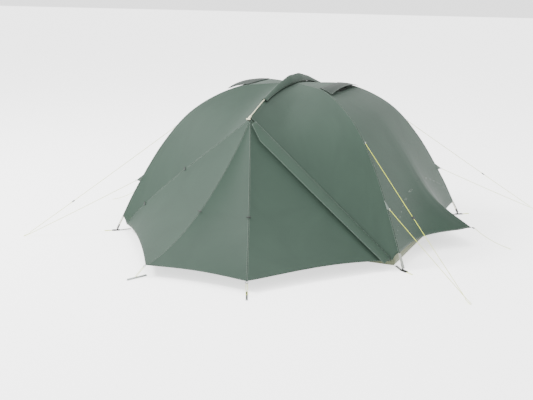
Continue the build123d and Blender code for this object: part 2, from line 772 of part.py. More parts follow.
def tie_points(side_x, side_y, tie):
    """Seam point, tab tip and ground point of one guyline."""
    seam = Vector(side_x * tie.X, side_y * tie.Y, tie.Z)
    ground = Vector(side_x * GUY_GROUND.X, side_y * GUY_GROUND.Y, 3.0)
    pull = unit(ground - seam)
    return seam, seam + pull * TAB_REACH, ground


def guy_tabs():
    """Three-cornered cloth tabs on the legs that take the guylines."""
    with BuildPart() as tabs:
        for side_x, side_y in CORNERS.values():
            for tie, low in ((TIE_HIGH, False), (TIE_LOW, True)):
                seam, tip, ground = tie_points(side_x, side_y, tie)
                pull = unit(ground - seam)
                normal = unit(pull.cross(UP))
                plane = Plane(origin=seam, x_dir=pull, z_dir=normal)
                first = 1 if low else 2
                slope = unit(Vector(*SEAM_POINTS[first]) - Vector(*SEAM_POINTS[first + 1]))
                along = unit(seam_out(side_x, side_y) * slope.X + UP * slope.Y)
                run = plane.to_local_coords(seam + along * 34)
                base = Vector(-TAB_ROOT, 0)
                with BuildSketch(plane):
                    with BuildLine():
                        Polyline(
                            (base.X + run.X, run.Y),
                            (TAB_REACH - 6, -3.5),
                            (TAB_REACH - 6, 3.5),
                            (base.X - run.X, -run.Y),
                            close=True,
                        )
                    make_face()
                extrude(amount=0.9, both=True)
    return tabs


def tie_rings():
    """Rings at the tips of the guy tabs."""
    with BuildPart() as rings:
        for side_x, side_y in CORNERS.values():
            for tie in (TIE_HIGH, TIE_LOW):
                seam, tip, ground = tie_points(side_x, side_y, tie)
                pull = unit(ground - seam)
                add(closed_ring(tip + pull * (RING_R - 4.2), unit(pull.cross(UP)), RING_R, RING_WIRE).part)
    return rings


def cord_tube(points, name):
    """A cord's tube of runs and tangent arcs; prints what its length and radii come to."""
    points = [Vector(*p) for p in points]
    radii = [0.45 * min((b - a).length, (c - b).length) / tan(radians((b - a).get_angle(c - b)) / 2)
             for a, b, c in zip(points, points[1:], points[2:])]
    with BuildPart() as tube:
        with BuildLine() as path:
            FilletPolyline(*points, radius=radii)
        with BuildSketch(Plane(origin=points[0], z_dir=points[1] - points[0])):
            Circle(CORD_OD / 2)
        sweep(path=path.line)
    length = path.wires()[0].length
    ratio = tube.part.volume / (pi * CORD_OD**2 / 4 * length)
    print(f"{name}: {length:.0f} mm, smallest radius {min(radii):.0f} mm, volume over length {ratio:.4f}")
    return tube


def guyline_route(side_x, side_y, tie):
    """A taut line from its ring to the ground, with the slight sag of its own weight."""
    seam, tip, ground = tie_points(side_x, side_y, tie)
    pull = unit(ground - seam)
    start = tip + pull * (2 * RING_R - 4.2 + RING_WIRE + 0.2)
    sideways = unit(pull.cross(UP)) * ((1 if tie.Z > TIE_LOW.Z else -1) * 5.0)
    end = ground - pull * 42 + sideways
    route = [start]
    for share, sag in ((0.33, 3.0), (0.67, 3.0)):
        route.append(lerp(start, end, share) - UP * sag)
    return route + [end]


def peg_loop(start, end, wire):
    """A closed loop of cord drawn long between two points."""
    along = unit(end - start)
    length = (end - start).length
    level = unit(along.cross(UP))
    plane = Plane(origin=lerp(start, end, 0.5), x_dir=along, z_dir=unit(level.cross(along)))
    width = LOOP_WIDTH
    with BuildPart() as loop:
        with BuildLine(plane) as path:
            l1 = Line((-length / 2 + width / 2, -width / 2), (length / 2 - width / 2, -width / 2))
            a1 = ThreePointArc(l1 @ 1, (length / 2, 0), (length / 2 - width / 2, width / 2))
            l2 = Line(a1 @ 1, (-length / 2 + width / 2, width / 2))
            ThreePointArc(l2 @ 1, (-length / 2, 0), l1 @ 0)
        with BuildSketch(Plane(origin=path.line @ 0, z_dir=path.line % 0)):
            Circle(wire)
        sweep(path=path.line)
    return loop


def peg_loops():
    """Loops of cord for the pegs: at the feet, at the vestibule points and under the guylines."""
    with BuildPart() as loops:
        for side_x, side_y in CORNERS.values():
            radial = seam_out(side_x, side_y)
            foot = Vector(side_x * FOOT_X, side_y * FOOT_Y, CORD_OD / 2 + 0.2)
            outer_edge = PLATE_LENGTH / 2 + PLATE_SHIFT
            near, far = (foot + radial * (outer_edge + reach) for reach in (1.9, 57))
            add(peg_loop(near, far, CORD_OD / 2).part)
            ground = Vector(side_x * GUY_GROUND.X, side_y * GUY_GROUND.Y, CORD_OD / 2 + 0.3)
            out = unit(Vector(side_x * (GUY_GROUND.X - TIE_HIGH.X), side_y * (GUY_GROUND.Y - TIE_HIGH.Y), 0))
            near = ground - out * 37
            add(peg_loop(Vector(near.X, near.Y, 20.5), ground + out * 12, CORD_OD / 2).part)
            hem, pull = vestibule_pull(side_x, side_y)
            add(peg_loop(hem + pull * 18.0 - UP * 13.9, Vector(hem.X, hem.Y, 13.5) + pull * 76, CORD_OD / 2).part)
    return loops


def vestibule_pull(side_x, side_y):
    """Hem point of a vestibule and the level direction that its peg pulls."""
    hem = Vector(side_x * HEM_POINT.X, -side_y * HEM_POINT.Y, HEM_POINT.Z)
    return hem, unit(Vector(side_x * 0.434, side_y * 0.90, 0))


def vestibule_rings():
    """Flat rings under the pegged hem points."""
    with BuildPart() as rings:
        for side_x, side_y in CORNERS.values():
            hem, pull = vestibule_pull(side_x, side_y)
            level = unit(pull.cross(UP))
            axis = unit(level.cross(unit(pull - UP * 0.75)))
            add(closed_ring(hem + pull * 8.7 - UP * 6.3, axis, 8.5, 1.7).part)
    return rings


def vestibule_pegs():
    """Three-finned pegs lying on the ground at the vestibule points."""
    with BuildPart() as pegs:
        for side_x, side_y in CORNERS.values():
            hem, pull = vestibule_pull(side_x, side_y)
            tail = Vector(hem.X, hem.Y, PEG_FIN * 0.5 + PEG_SHEET / 2 + 0.1) - pull * 6
            plane = Plane(origin=tail, x_dir=unit(pull.cross(UP)), z_dir=pull)
            with BuildSketch(plane):
                for angle in PEG_TURNS:
                    with Locations(Rotation(0, 0, angle)):
                        with Locations((PEG_FIN / 2, 0)):
                            Rectangle(PEG_FIN, PEG_SHEET)
            extrude(amount=PEG_LENGTH)
    return pegs


def end_line_locks():
    """Line locks hanging from the pulled-out middle of the end hems."""
    with BuildPart() as locks:
        for side in (1, -1):
            tie = END_TIE_AT[side]
            out = Vector(side, 0, -0.2).normalized()
            plane = Plane(origin=tie + out * LOCK_START, x_dir=(0, 1, 0), z_dir=out)
            with BuildSketch(plane):
                RectangleRounded(15, 6, 2)
            extrude(amount=20)
            cross = unit(out.cross(Vector(0, 1, 0)))
            with BuildSketch(Plane(origin=tie + out * (LOCK_START + 10), x_dir=(0, 1, 0), z_dir=cross)):
                SlotOverall(11, 4, rotation=0)
            extrude(amount=10, both=True, mode=Mode.SUBTRACT)
    return locks


def end_line_route(side):
    """Slack line from an end lock to the ground."""
    tie = END_TIE_AT[side]
    start = tie + Vector(side, 0, -0.2).normalized() * (LOCK_START + 20.7)
    points = [start]
    for x, z in ((52, 88), (104, 60), (156, 36), (208, 17), (256, 5)):
        points.append(Vector(start.X + side * x, 1.5 * (-1) ** (x // 52), z))
    return points + [Vector(side * END_PEG.X, END_PEG.Y, CORD_OD / 2 + 0.2)]


def guy_slider(side_x, side_y, share):
    """Line lock threaded on an upper guyline."""
    route = guyline_route(side_x, side_y, TIE_HIGH)
    start, end = route[0], route[-1]
    along = unit(end - start)
    places = [0.0, 0.33, 0.67, 1.0]
    for low, high, a, b in zip(places, places[1:], route, route[1:]):
        if low <= share <= high:
            centre, along = lerp(a, b, (share - low) / (high - low)), unit(b - a)
    side = unit(along.cross(UP))
    with BuildPart() as slider:
        with BuildSketch(Plane(origin=centre - along * (LOCK_LENGTH / 2), x_dir=side, z_dir=along)):
            RectangleRounded(LOCK_WIDTH, LOCK_DEPTH, 2.4)
            Circle(CORD_OD / 2 + SLIDER_ROOM, mode=Mode.SUBTRACT)
        extrude(amount=LOCK_LENGTH)
    return slider


def apex_ladder_locks():
    """Buckles under the ridge pole's tips that draw the apex up."""
    with BuildPart() as locks:
        for turn in (0, 180):
            plane = Plane(origin=(0, APEX.Y - 22, APEX.Z - 10.2), x_dir=(1, 0, 0), z_dir=(0, -0.6, 0.8))
            with BuildPart(mode=Mode.PRIVATE) as lock:
                with BuildSketch(plane):
                    RectangleRounded(24, 18, 3)
                    with Locations((0, 4), (0, -4)):
                        SlotOverall(17, 4, mode=Mode.SUBTRACT)
                extrude(amount=4)
            add(lock.part.rotate(Axis.Z, turn))
    return locks


def door_toggles():
    """Toggles on the vestibule seams that hold a rolled door."""
    places = (("plain", 3, 7.5), ("plain", 5, 9.2), ("left", 3, 5.4), ("right", 3, 5.4))
    with BuildPart() as toggles:
        for turn in (0, 180):
            for name, index, lift in places:
                centre = SEAMS[name][index]
                down, before, after, out = seam_frame(name, index)
                along = unit(out.cross(down))
                side = unit(out.cross(along))
                end = centre + out * lift - along * (TOGGLE_LENGTH / 2)
                with BuildPart(mode=Mode.PRIVATE) as toggle:
                    with BuildSketch(Plane(origin=end, x_dir=side, z_dir=along)):
                        Circle(TOGGLE_R)
                    extrude(amount=TOGGLE_LENGTH)
                add(toggle.part.rotate(Axis.Z, turn))
    return toggles


# --- the fly --------------------------------------------------------------------------------------
for half, angle in HALVES.items():
    keep(half_turn(side_panel(-1, "plain", 4 * SEAM_GAP), angle), f"{half}_plain_side_panel")
    keep(half_turn(side_panel(1, "zip", ZIP_HALF), angle), f"{half}_zip_side_panel")
    keep(half_turn(vestibule_panel("plain", "left", SEAM_GAP, SEAM_GAP), angle), f"{half}_vestibule_side")
    keep(half_turn(vestibule_panel("left", "right", SEAM_GAP, SEAM_GAP), angle), f"{half}_vestibule_middle")
    keep(half_turn(vestibule_panel("right", "zip", SEAM_GAP, ZIP_HALF), angle), f"{half}_door")
    keep(half_turn(storm_flap(), angle), f"{half}_storm_flap")
    keep(half_turn(zip_chain(), angle), f"{half}_zip_chain")
    keep(half_turn(zip_slider(), angle), f"{half}_zip_slider")

for name, side in (("left", -1), ("right", 1)):
    keep(end_panel(side), f"{name}_end_panel")
    keep(vent_hood(side), f"{name}_vent_hood")

keep(ridge_sleeve(), "ridge_sleeve")
keep(guy_tabs(), "guy_tabs")
keep(door_toggles(), "door_toggles")

# --- the frame ------------------------------------------------------------------------------------
keep(main_pole(1, 0.0), "main_pole_upper")
keep(main_pole(-1, POLE_OD + POLE_GAP), "main_pole_lower")
keep(ridge_pole(), "ridge_pole")
keep(pole_ferrules(), "pole_ferrules")
keep(pole_foot_tips(), "pole_foot_tips")
keep(ridge_end_fittings(), "ridge_end_fittings")
keep(corner_plates(), "corner_plates")
keep(corner_webbing(), "corner_webbing")
keep(apex_ladder_locks(), "apex_ladder_locks")

# --- the inner tent -------------------------------------------------------------------------------
for half, side in (("front", -1), ("rear", 1)):
    wall = inner_wall(True, side)
    with BuildPart() as inner_side:
        add(wall.part)
        add(door_shape(side, DOOR_GAP).part, mode=Mode.SUBTRACT)
    keep(inner_side, f"inner_{half}_wall")
    with BuildPart() as inner_door:
        add(wall.part)
        add(door_shape(side, 0.0).part, mode=Mode.INTERSECT)
    keep(inner_door, f"inner_{half}_door")
for name, side in (("left", -1), ("right", 1)):
    keep(inner_wall(False, side), f"inner_{name}_wall")
keep(groundsheet(), "groundsheet")
with BuildPart() as hangers:
    add(inner_hangers().part)
    add(lantern_patch().part)
keep(hangers, "inner_hangers")
keep(lantern_ring(), "lantern_ring")

# --- lines and hardware ---------------------------------------------------------------------------
for name, (side_x, side_y) in CORNERS.items():
    keep(cord_tube(guyline_route(side_x, side_y, TIE_HIGH), name + " upper"), f"{name}_upper_guyline")
    keep(cord_tube(guyline_route(side_x, side_y, TIE_LOW), name + " lower"), f"{name}_lower_guyline")
    keep(guy_slider(side_x, side_y, SLIDER_SHARES[name]), f"{name}_guy_slider")
for name, side in (("left", -1), ("right", 1)):
    keep(cord_tube(end_line_route(side), name + " end line"), f"{name}_end_line")
keep(tie_rings(), "tie_rings")
keep(end_line_locks(), "end_line_locks")
keep(peg_loops(), "peg_loops")
keep(vestibule_rings(), "vestibule_rings")
keep(vestibule_pegs(), "vestibule_pegs")
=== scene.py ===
"""Looks for the pitched dome tent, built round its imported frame. Metres, +Z up, front vestibule at -Y."""

from math import cos, exp, pi, sin

import bmesh
import bpy
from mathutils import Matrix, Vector


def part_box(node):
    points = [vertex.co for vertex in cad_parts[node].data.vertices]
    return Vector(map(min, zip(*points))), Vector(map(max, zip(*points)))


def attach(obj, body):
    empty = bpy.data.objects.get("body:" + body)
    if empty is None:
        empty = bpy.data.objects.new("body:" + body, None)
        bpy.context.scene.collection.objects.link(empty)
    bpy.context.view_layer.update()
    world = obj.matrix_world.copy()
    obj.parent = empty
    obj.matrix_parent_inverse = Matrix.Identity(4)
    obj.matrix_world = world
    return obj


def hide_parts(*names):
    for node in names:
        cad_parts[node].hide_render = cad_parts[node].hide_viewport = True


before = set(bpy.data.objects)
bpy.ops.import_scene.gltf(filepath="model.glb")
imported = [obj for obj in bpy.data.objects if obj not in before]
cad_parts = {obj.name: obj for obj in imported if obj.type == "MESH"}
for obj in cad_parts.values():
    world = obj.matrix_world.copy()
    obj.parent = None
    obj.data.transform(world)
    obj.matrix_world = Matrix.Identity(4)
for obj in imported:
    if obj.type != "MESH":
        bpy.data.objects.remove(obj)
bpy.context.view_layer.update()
UP = Vector((0, 0, 1))

# --- the tent's driving points --------------------------------------------------------------------
# the fly's seam over one leg, from the hem to the crossing
LEG = [
    Vector((1.1110, 0.7622, 0.112)),
    Vector((1.0162, 0.6972, 0.336)),
    Vector((0.8431, 0.5785, 0.672)),
    Vector((0.6451, 0.4426, 0.931)),
    Vector((0.3816, 0.2618, 1.0905)),
    Vector((0.1303, 0.0894, 1.1183)),
    Vector((0.0, 0.0, 1.1183)),
]
APEX = Vector((0, -0.769, 0.957))
CORNER = Vector((1.064, -0.778, 0.054))
HEM_POINT = Vector((0.373, -1.604, 0.076))
END_TIE = Vector((1.430, 0, 0.130))
SEAM_SAG = 0.155
PLAIN_RISE = 0.066
CREASE_RISE = 0.044
HEM_HOLLOW = 0.042
SEAM_LENGTH = (APEX - HEM_POINT).length
VESTIBULE_DISH = 0.018  # how far a vestibule panel is drawn in between its seams
SIDE_DISH = 0.016  # lift of a side panel just over its hem
CLOTH_THICK = 0.0008
SLEEVE_THICK = 0.001
FLAP_THICK = 0.0012
HOOD_THICK = 0.0018
ZIP_ROOM = 0.0032
VENT_START, VENT_END, VENT_HALF = 0.318, 0.392, 0.09
HOOD_START, HOOD_DEPTH = 0.290, 0.135
HOOD_SPREAD = 0.686  # half width of a hood for each metre along X
HOOD_RISE = 0.030
FLAP_ROOT, FLAP_OVER, FLAP_STAND, FLAP_CROWN = 0.010, 0.078, 0.019, 0.009
SLEEVE_REACH = 0.540
SLEEVE_TOP = 0.0078  # from the ridge pole's axis to the top of its sleeve
RIDGE_REACH, RIDGE_END_Z, RIDGE_PEAK = 0.792, 0.961, 1.176
RIDGE_SHAPE = [(1.0, 0.0), (0.70, 0.43), (0.36, 0.81), (0.12, 1.0)]  # shares of the reach and of the rise
# the inner tent's seam over one leg, from the tub's rim to the crossing
INNER_LEG = [
    (1.0214, 0.6742, 0.1206),
    (0.9412, 0.6212, 0.312),
    (0.7804, 0.5151, 0.627),
    (0.5971, 0.3941, 0.868),
    (0.3538, 0.2335, 1.017),
    (0.1211, 0.0799, 1.043),
    (0.0, 0.0, 1.043),
]
DOOR_HALF = 0.380
DOOR_FOOT = 0.165
DOOR_HEIGHT = 0.610
INNER_TOP = 1.040
DOOR_ROOM = 0.001  # free cloth edge round the door
DOOR_SIDE = 0.42  # share of the door's height where its arch begins
ROWS = 60
COLUMNS = 40
FLOOR_SHARE = 0.9
BAND = (0.0, 0.0035, 0.008, 0.012)  # columns kept close to a stitched edge


def lerp(a, b, share):
    """The value at a share of the way from a to b."""
    return a + (b - a) * share


def glide(points, t):
    """The point at t from 0 to 1 on a smooth curve through the points."""
    spans = len(points) - 1
    place = min(max(t, 0.0), 1.0) * spans
    i = min(int(place), spans - 1)
    f = place - i
    a, b = points[i], points[i + 1]
    before = points[i - 1] if i else a * 2 - b
    after = points[i + 2] if i + 2 <= spans else b * 2 - a
    curve = a * 2 + (b - before) * f + (before * 2 - a * 5 + b * 4 - after) * f**2
    return (curve + (a * 3 - before - b * 3 + after) * f**3) * 0.5


def leg(side_x, side_y, t):
    """A point of the fly's seam over one leg, from the hem (0) to the crossing (1)."""
    p = glide(LEG, t)
    return Vector((side_x * p.x, side_y * p.y, p.z))


def seam(name, s):
    """A vestibule seam from the apex (0) to the hem (1)."""
    feet = {"plain": Vector((-CORNER.x, CORNER.y, CORNER.z)), "zip": CORNER,
            "left": Vector((-HEM_POINT.x, HEM_POINT.y, HEM_POINT.z)), "right": HEM_POINT}
    drop = 0.0
    if name in ("left", "right"):
        drop = SEAM_SAG * max(0.0, sin(pi * s)) ** 0.8
    if name == "plain":
        drop = -PLAIN_RISE * 2.6 * s**1.5 * max(0.0, 1 - s) ** 0.75
    return lerp(APEX, feet[name], s) - UP * drop


def turned(p, half):
    """A point of the front half, or its twin of the rear half."""
    return p if half == "front" else Vector((-p.x, -p.y, p.z))


# --- materials ------------------------------------------------------------------------------------
MM = 0.001
WAVE = 0.05 * 6.28  # wave scale of one band a metre
CLOTH_SHEEN = 0.04
CLOTH_SPECULAR = 0.18
SATIN = 0.34  # roughness of anodised tube


def linear(hex_colour):
    """Linear colour of an sRGB hex value."""
    parts = [int(hex_colour[i:i + 2], 16) / 255 for i in (1, 3, 5)]
    return tuple(c / 12.92 if c <= 0.04045 else ((c + 0.055) / 1.055) ** 2.4 for c in parts) + (1.0,)


def node(tree, kind, settings=None, links=None):
    """Add a node with its settings (names or sockets) and its links (input to output socket)."""
    made = tree.nodes.new(kind)
    for key, value in (settings or {}).items():
        if isinstance(key, int) or key in made.inputs:
            made.inputs[key].default_value = value
        else:
            setattr(made, key, value)
    for key, source in (links or {}).items():
        tree.links.new(made.inputs[key], source)
    return made


def blank(name, **shader):
    """A material with its principled shader's own sockets set."""
    made = bpy.data.materials.new(name)
    made.use_nodes = True
    surface = made.node_tree.nodes["Principled BSDF"]
    for key, value in shader.items():
        surface.inputs[key.replace("_", " ")].default_value = value
    return made, made.node_tree, surface


def tint(tree, surface, light, dark, factor):
    """Colour between a dark and a light value of one finish, by a factor socket."""
    ramp = node(tree, "ShaderNodeMix", {"data_type": "RGBA"}, {"Factor": factor})
    ramp.inputs[6].default_value = linear(dark)
    ramp.inputs[7].default_value = linear(light)
    tree.links.new(surface.inputs["Base Color"], ramp.outputs[2])


def woven(name, light, dark, thread, roughness, wrinkle):
    """Coated plain weave: crossed threads, faint drag lines and a felled, stitched band by the seams."""
    made, tree, surface = blank(name, Roughness=roughness, Sheen_Weight=CLOTH_SHEEN, Sheen_Roughness=0.4)
    surface.inputs["Specular IOR Level"].default_value = CLOTH_SPECULAR
    place = node(tree, "ShaderNodeUVMap", {"uv_map": "cloth"})
    waves = []
    for direction in ("X", "Y"):
        bands = {"bands_direction": direction, "Scale": WAVE / thread}
        waves.append(node(tree, "ShaderNodeTexWave", bands, {"Vector": place.outputs[0]}))
    weave = node(tree, "ShaderNodeMath", {"operation": "MAXIMUM"},
                 {0: waves[0].outputs["Fac"], 1: waves[1].outputs["Fac"]})
    drawn = {"Scale": 3.2, "Detail": 3.0, "Roughness": 0.55, "Distortion": 0.6}
    drag = node(tree, "ShaderNodeTexNoise", drawn, {"Vector": place.outputs[0]})
    tint(tree, surface, light, dark, drag.outputs["Fac"])
    folds = node(tree, "ShaderNodeBump", {"Strength": wrinkle, "Distance": 0.02},
                 {"Height": drag.outputs["Fac"]})
    threads = node(tree, "ShaderNodeBump", {"Strength": 0.10, "Distance": 0.0004},
                   {"Height": weave.outputs[0], "Normal": folds.outputs[0]})
    tree.links.new(surface.inputs["Normal"], threads.outputs[0])
    stitch(tree, surface, threads)
    return made


def stitch(tree, surface, normal):
    """A felled seam band along a stitched edge, with a row of short stitches in it."""
    edge = node(tree, "ShaderNodeAttribute", {"attribute_name": "edge"})
    run = node(tree, "ShaderNodeAttribute", {"attribute_name": "run"})
    band = node(tree, "ShaderNodeMapRange", {"From Min": 0.0085, "From Max": 0.0075},
                {"Value": edge.outputs["Fac"]})
    line = node(tree, "ShaderNodeMath", {"operation": "COMPARE", 1: 0.0052, 2: 0.0009},
                {0: edge.outputs["Fac"]})
    dash = node(tree, "ShaderNodeMath", {"operation": "PINGPONG", 1: 0.004}, {0: run.outputs["Fac"]})
    gap = node(tree, "ShaderNodeMath", {"operation": "GREATER_THAN", 1: 0.0012}, {0: dash.outputs[0]})
    thread = node(tree, "ShaderNodeMath", {"operation": "MULTIPLY"},
                  {0: line.outputs[0], 1: gap.outputs[0]})
    cloth_colour = surface.inputs["Base Color"].links[0].from_socket
    felled = node(tree, "ShaderNodeMix", {"data_type": "RGBA", "blend_type": "MULTIPLY"},
                  {"Factor": band.outputs[0]})
    tree.links.new(felled.inputs[6], cloth_colour)
    felled.inputs[7].default_value = (0.72, 0.74, 0.73, 1)
    sewn = node(tree, "ShaderNodeMix", {"data_type": "RGBA"}, {"Factor": thread.outputs[0]})
    tree.links.new(sewn.inputs[6], felled.outputs[2])
    sewn.inputs[7].default_value = linear("#66736a")
    tree.links.new(surface.inputs["Base Color"], sewn.outputs[2])
    raised = node(tree, "ShaderNodeBump", {"Strength": 0.6, "Distance": 0.0012},
                  {"Height": band.outputs[0], "Normal": normal.outputs[0]})
    tree.links.new(surface.inputs["Normal"], raised.outputs[0])


def moulded(name, light, dark):
    """Moulded acetal or nylon: a fine spark-eroded grain with slightly rubbed, uneven gloss."""
    made, tree, surface = blank(name, Roughness=0.45)
    place = node(tree, "ShaderNodeTexCoord")
    grain = node(tree, "ShaderNodeTexNoise", {"Scale": 1 / (0.8 * MM), "Detail": 2.0},
                 {"Vector": place.outputs["Object"]})
    patchy = node(tree, "ShaderNodeTexNoise", {"Scale": 1 / (30 * MM), "Detail": 2.0},
                  {"Vector": place.outputs["Object"]})
    tint(tree, surface, light, dark, patchy.outputs["Fac"])
    bump = node(tree, "ShaderNodeBump", {"Strength": 0.25, "Distance": 0.0002},
                {"Height": grain.outputs["Fac"]})
    tree.links.new(surface.inputs["Normal"], bump.outputs[0])
    return made


def anodised(name, light, dark):
    """Anodised aluminium tube: an even satin with fine drawing marks."""
    made, tree, surface = blank(name, Metallic=0.85, Roughness=SATIN)
    place = node(tree, "ShaderNodeTexCoord")
    marks = node(tree, "ShaderNodeTexNoise", {"Scale": 1 / (2 * MM), "Detail": 4.0},
                 {"Vector": place.outputs["Object"]})
    tint(tree, surface, light, dark, marks.outputs["Fac"])
    rough = node(tree, "ShaderNodeMapRange", {"To Min": SATIN - 0.08, "To Max": SATIN + 0.1},
                 {"Value": marks.outputs["Fac"]})
    tree.links.new(surface.inputs["Roughness"], rough.outputs[0])
    return made


def ribbed(name, light, dark, pitch):
    """Nylon webbing, cord or zip coil: raised ribs a pitch apart that read as woven yarn."""
    made, tree, surface = blank(name, Roughness=0.6, Sheen_Weight=0.3)
    place = node(tree, "ShaderNodeTexCoord")
    bands = {"bands_direction": "DIAGONAL", "Scale": WAVE / pitch, "Distortion": 0.4}
    ribs = node(tree, "ShaderNodeTexWave", bands, {"Vector": place.outputs["Object"]})
    tint(tree, surface, light, dark, ribs.outputs["Fac"])
    bump = node(tree, "ShaderNodeBump", {"Strength": 0.5, "Distance": 0.0004},
                {"Height": ribs.outputs["Fac"]})
    tree.links.new(surface.inputs["Normal"], bump.outputs[0])
    return made


FLY = woven("coated_polyester_slate_green", "#2f4036", "#27352d", 1.6 * MM, 0.62, 0.10)
# painted light: the storm flap is the fly's own coated polyester, coloured a shade lighter for the light
# falling on the flap
LIT_FLAP_CLOTH = woven("coated_polyester_flap_painted_light", "#33443a", "#2b3a31", 1.6 * MM, 0.60, 0.12)
# painted shade: the vent hoods are the fly's own coated polyester, coloured darker for the shade in and under
# each hood
SHADED_HOOD_CLOTH = woven("coated_polyester_hood_painted_shade", "#1f2a24", "#18211c", 1.6 * MM, 0.65, 0.08)
INNER = woven("inner_polyester_olive", "#8a8f76", "#747963", 1.4 * MM, 0.75, 0.16)
FLOOR_CLOTH = woven("groundsheet_coated_nylon", "#747a63", "#636853", 1.8 * MM, 0.6, 0.22)
TAB = ribbed("grosgrain_tab", "#5d6c63", "#4a574f", 1.4 * MM)
WEBBING = ribbed("polyester_webbing_grey", "#8b8f88", "#6d716b", 1.6 * MM)
LINE = ribbed("braided_guyline_lime", "#c9d400", "#a9b400", 2.2 * MM)
COIL = ribbed("nylon_zip_coil", "#39443d", "#1d2420", 1.8 * MM)
BLACK = moulded("moulded_acetal_black", "#1b1c1b", "#0e0f0e")
CREAM = moulded("moulded_acetal_cream", "#d2d2b6", "#bfc0a2")
PALE = moulded("moulded_nylon_pale", "#c3c6b4", "#a9ad9b")
POLE = anodised("anodised_pole_pale", "#cfd0b4", "#b4b69b")
PEG = anodised("anodised_peg_grey", "#9a9f9c", "#7c827f")


# --- cloth ----------------------------------------------------------------------------------------
def cloth_mesh(name, surface_point, rows, columns, edges=(True, True), material=FLY, far=None):
    """A cloth grid from a function of v (down) and u (across), with UVs in metres and seam distances."""
    middle_width = (surface_point(0.6, 1.0) - surface_point(0.6, 0.0)).length
    near = [d / max(middle_width, 0.1) for d in BAND]
    inside = [near[-1] + (1 - 2 * near[-1]) * i / columns for i in range(1, columns)]
    shares = near + inside + [1 - s for s in reversed(near)]
    grid = [[surface_point(r / rows, u) for u in shares] for r in range(rows + 1)]
    across = len(shares)
    points = [p for row in grid for p in row]
    faces = []
    for r in range(rows):
        for c in range(across - 1):
            a = r * across + c
            faces.append((a, a + 1, a + across + 1, a + across))
    mesh = bpy.data.meshes.new(name)
    mesh.from_pydata(points, [], faces)
    uv, edge, run = [], [], []
    down = [0.0] * across
    for r, row in enumerate(grid):
        lengths = [0.0]
        for c in range(1, across):
            lengths.append(lengths[-1] + (row[c] - row[c - 1]).length)
        for c in range(across):
            if r:
                down[c] += (row[c] - grid[r - 1][c]).length
            uv.append((lengths[c] - lengths[-1] / 2, down[c]))
            reach = [0.5]
            if edges[0]:
                reach.append(lengths[c])
            if edges[1]:
                reach.append(lengths[-1] - lengths[c])
            if far:
                reach.append(far(r / rows, shares[c]))
            edge.append(min(reach))
            run.append(down[c])
    layer = mesh.uv_layers.new(name="cloth")
    for loop in mesh.loops:
        layer.data[loop.index].uv = uv[loop.vertex_index]
    for key, values in (("edge", edge), ("run", run)):
        mesh.attributes.new(key, "FLOAT", "POINT").data.foreach_set("value", values)
    mesh.materials.append(material)
    made = bpy.data.objects.new(name, mesh)
    bpy.context.collection.objects.link(made)
    return made


def finish_cloth(made, outward, thick=CLOTH_THICK):
    """Turn the faces outwards, smooth them and give the cloth its thickness."""
    mesh = made.data
    total = Vector((0, 0, 0))
    for face in mesh.polygons:
        total += face.normal * face.area
    if total.dot(outward) < 0:
        mesh.flip_normals()
    for face in mesh.polygons:
        face.use_smooth = True
    wall = made.modifiers.new("thickness", "SOLIDIFY")
    wall.thickness = thick
    wall.offset = 1
    for other in bpy.context.selected_objects:
        other.select_set(False)
    bpy.context.view_layer.objects.active = made
    made.select_set(True)
    bpy.ops.object.modifier_apply(modifier="thickness")
    made.select_set(False)


def laid_beside(p, q, from_p, from_q):
    """Flat place of a point at known distances from two flat points, below the line between them."""
    apart = (q - p).length
    if apart < 1e-6:
        return p + Vector((0, -from_p))
    along = (q - p) / apart
    x = (from_p**2 - from_q**2 + apart**2) / (2 * apart)
    return p + along * x + Vector((along.y, -along.x)) * max(0.0, from_p**2 - x**2) ** 0.5


def strip_pattern(left, right, steps=24):
    """Width, length and area of the strip between two seams, laid flat triangle by triangle."""
    a, b = Vector((0, 0)), Vector(((right(0) - left(0)).length, 0))
    outline, area = [a, b], 0.0
    for i in range(steps):
        a0, b0, a1, b1 = left(i / steps), right(i / steps), left((i + 1) / steps), right((i + 1) / steps)
        next_a = laid_beside(a, b, (a1 - a0).length, (a1 - b0).length)
        next_b = laid_beside(next_a, b, (b1 - a1).length, (b1 - b0).length)
        area += ((a1 - a0).cross(b0 - a0).length + (b1 - b0).cross(a1 - b0).length) / 2
        a, b = next_a, next_b
        outline += [a, b]
    sizes = []
    for turn in range(60):
        angle = turn * pi / 120
        ways = [Vector((cos(angle), sin(angle))), Vector((-sin(angle), cos(angle)))]
        spans = [max(p.dot(w) for p in outline) - min(p.dot(w) for p in outline) for w in ways]
        sizes.append((spans[0] * spans[1], min(spans), max(spans)))
    return min(sizes)[1], min(sizes)[2], area


def pattern(point, seams=(0.0, 1.0), off=0.0):
    """Flat size and cut area of a cloth, strip by strip between its seam lines, less what is cut off."""
    width = length = area = 0.0
    for u0, u1 in zip(seams, seams[1:]):
        across, along, part = strip_pattern(lambda v: point(v, u0), lambda v: point(v, u1))
        width, length, area = width + across, max(length, along), area + part
    return (width, length), area - off


def declare_cloth(made, cut, body, nodes):
    """Ride, replace and declare one cloth piece, with the flat size and area of its cut."""
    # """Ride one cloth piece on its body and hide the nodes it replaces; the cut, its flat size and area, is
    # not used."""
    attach(made, body)
    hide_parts(*nodes)


